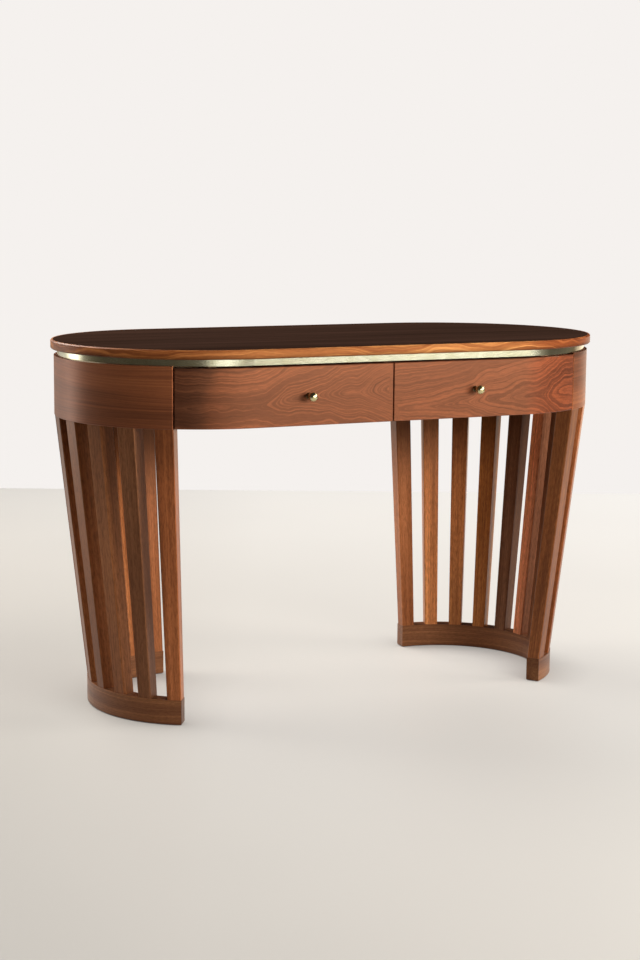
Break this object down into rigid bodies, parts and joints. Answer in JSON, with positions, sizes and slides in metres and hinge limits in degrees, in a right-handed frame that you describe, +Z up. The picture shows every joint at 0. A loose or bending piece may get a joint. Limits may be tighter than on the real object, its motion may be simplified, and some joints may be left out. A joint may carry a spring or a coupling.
{
  "type": "writing desk",
  "caption": "Racetrack-shaped walnut writing desk with bow-ended frieze drawers, a recessed brass band, ball knobs and slatted C-shaped legs that taper to curved plinths.",
  "frame": {"origin": "on the floor, under the middle of the bounding box (which takes in the knobs)", "axes": "+X along the desk to the sitter's right, +Y to the back, +Z up"},
  "size_m": [1.2148, 0.628, 0.762],
  "materials": {
    "walnut_top": "satin lacquer, dark",
    "walnut_edge": "satin lacquer",
    "walnut_apron": "satin lacquer",
    "walnut_drawer": "satin lacquer",
    "walnut_slat": "satin lacquer",
    "walnut_plinth": "satin lacquer",
    "carcass_wood": "matt",
    "drawer_wood": "matt lacquer",
    "brass": "satin, pale",
    "steel": "zinc plated"
  },
  "bodies": {
    "desk": {"top_panel": "walnut_top", "top_lipping": "walnut_edge", "brass_band": "brass", "spacer_panel": "carcass_wood", "carcass_bottom": "carcass_wood", "centre_divider": "carcass_wood", "bay_partition_left": "carcass_wood", "bay_partition_right": "carcass_wood", "end_stile_left": "carcass_wood", "end_stile_right": "carcass_wood", "leg_rail_left": "carcass_wood", "leg_rail_right": "carcass_wood", "rear_rail": "walnut_apron", "end_shell_left": "walnut_apron", "end_shell_right": "walnut_apron", "slat_left_01": "walnut_slat", "slat_left_02": "walnut_slat", "slat_left_03": "walnut_slat", "slat_left_04": "walnut_slat", "slat_left_05": "walnut_slat", "slat_left_06": "walnut_slat", "slat_left_07": "walnut_slat", "slat_left_08": "walnut_slat", "slat_left_09": "walnut_slat", "slat_left_10": "walnut_slat", "slat_right_01": "walnut_slat", "slat_right_02": "walnut_slat", "slat_right_03": "walnut_slat", "slat_right_04": "walnut_slat", "slat_right_05": "walnut_slat", "slat_right_06": "walnut_slat", "slat_right_07": "walnut_slat", "slat_right_08": "walnut_slat", "slat_right_09": "walnut_slat", "slat_right_10": "walnut_slat", "plinth_left": "walnut_plinth", "plinth_right": "walnut_plinth", "left_cabinet_slides": "steel", "right_cabinet_slides": "steel"},
    "left_drawer": {"left_knob": "brass", "left_drawer_front": "walnut_drawer", "left_drawer_inner_side": "drawer_wood", "left_drawer_outer_side": "drawer_wood", "left_drawer_back": "drawer_wood", "left_drawer_floor": "drawer_wood", "left_knob_screw": "steel", "left_drawer_slides": "steel"},
    "right_drawer": {"right_knob": "brass", "right_drawer_front": "walnut_drawer", "right_drawer_inner_side": "drawer_wood", "right_drawer_outer_side": "drawer_wood", "right_drawer_back": "drawer_wood", "right_drawer_floor": "drawer_wood", "right_knob_screw": "steel", "right_drawer_slides": "steel"}
  },
  "joints": [
    {"name": "left_drawer_slide", "type": "slide", "parent": "desk", "child": "left_drawer", "axis": [0, -1, 0], "range_m": [0, 0.34]},
    {"name": "right_drawer_slide", "type": "slide", "parent": "desk", "child": "right_drawer", "axis": [0, -1, 0], "range_m": [0, 0.34]}
  ]
}
